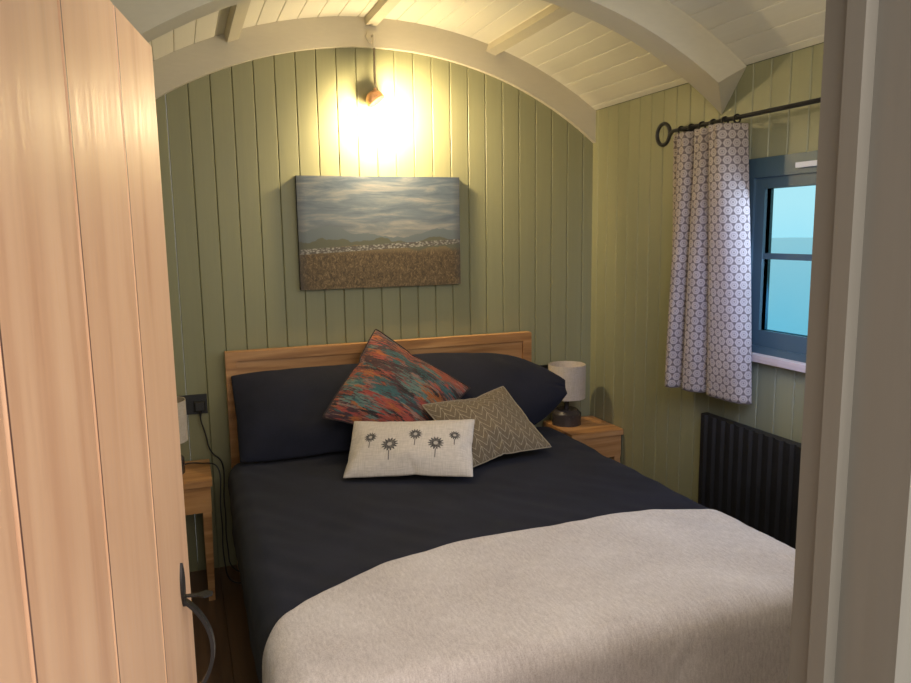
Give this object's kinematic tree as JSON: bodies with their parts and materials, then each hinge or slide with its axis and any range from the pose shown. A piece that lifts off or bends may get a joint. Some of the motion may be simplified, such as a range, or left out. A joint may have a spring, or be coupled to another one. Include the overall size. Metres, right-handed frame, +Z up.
{
  "type": "shepherd's hut sleeping end",
  "caption": "Sleeping end of a shepherd's hut: boarded arched end wall, bowed roof, side window, partition with an open boarded door, and a made-up double bed.",
  "frame": {"origin": "on the ground under the middle of the bay's overall length and width", "axes": "+X across the hut towards the window side, +Y along the hut towards the arched end wall, +Z up"},
  "size_m": [2.528, 3.092, 2.7523],
  "materials": {
    "sage_paint": "satin paint on boards",
    "cream_paint": "satin paint on boards and bows",
    "outer_paint": "outdoor paint on boards",
    "floor_oak": "oiled boards",
    "bearer_timber": "rough sawn",
    "roof_metal": "painted sheet",
    "pine": "waxed knotty pine",
    "oak": "oiled oak",
    "black_iron": "matt black",
    "frame_paint": "dark blue-green paint",
    "clear_glass": "clear",
    "white_plastic": "satin",
    "black_plate": "satin black",
    "radiator_black": "matt black",
    "copper": "brushed copper",
    "canvas": "printed canvas",
    "hinge_steel": "dark bronze",
    "mattress_cloth": "woven ticking",
    "navy_cotton": "matt cotton",
    "oatmeal_wool": "felted wool",
    "patterned_cloth": "woven",
    "olive_cloth": "woven",
    "white_linen": "linen",
    "curtain_cloth": "printed cotton",
    "shade_cloth": "linen",
    "lamp_ceramic": "glazed",
    "black_flex": "satin"
  },
  "bodies": {
    "hut": {"floor_bearers": "bearer_timber", "floor_cassette": "bearer_timber", "floor_boards": "floor_oak", "end_wall": "outer_paint", "end_wall_lining": "sage_paint", "left_wall": "outer_paint", "left_wall_lining": "sage_paint", "right_wall": "outer_paint", "right_wall_lining": "sage_paint", "ceiling_boards": "cream_paint", "roof_core": "outer_paint", "roof_sheet": "roof_metal", "end_bow": "cream_paint", "roof_bows": "cream_paint", "purlins": "cream_paint", "partition_right": "sage_paint", "partition_head": "sage_paint", "door_jamb_left": "sage_paint", "door_jamb_right": "sage_paint", "door_head": "sage_paint", "door_hinge_pins": "hinge_steel", "latch_keeper": "black_iron", "window_frame": "frame_paint", "window_casements": "frame_paint", "window_glass": "clear_glass", "window_sill": "oak", "trickle_vent": "white_plastic", "curtain_pole": "black_iron", "curtain_rings": "black_iron", "curtain_rear": "curtain_cloth", "curtain_front": "curtain_cloth", "radiator": "radiator_black", "wall_light_stem": "copper", "wall_light_head": "copper", "picture_canvas": "canvas", "wall_sockets": "black_plate", "headboard": "oak", "bed_frame": "oak", "mattress": "mattress_cloth", "duvet": "navy_cotton", "throw": "oatmeal_wool", "pillows": "navy_cotton", "cushion_patterned": "patterned_cloth", "cushion_leaf": "olive_cloth", "cushion_lumbar": "white_linen", "bedside_tables": "oak", "lamp_bases": "lamp_ceramic", "lamp_shades": "shade_cloth", "lamp_cord": "black_flex", "lamp_cord_relief": "black_flex", "lamp_plug": "black_flex"},
    "door": {"door_boards": "pine", "door_ledges": "pine", "door_latch": "black_iron", "door_hinge_leaves": "hinge_steel"}
  },
  "joints": [
    {"name": "bedroom_door_hinge", "type": "hinge", "parent": "hut", "child": "door", "pos_m": [-1.0835, -1.42, 0.24], "axis": [0, 0, 1], "range_deg": [-79.8, 8]}
  ]
}
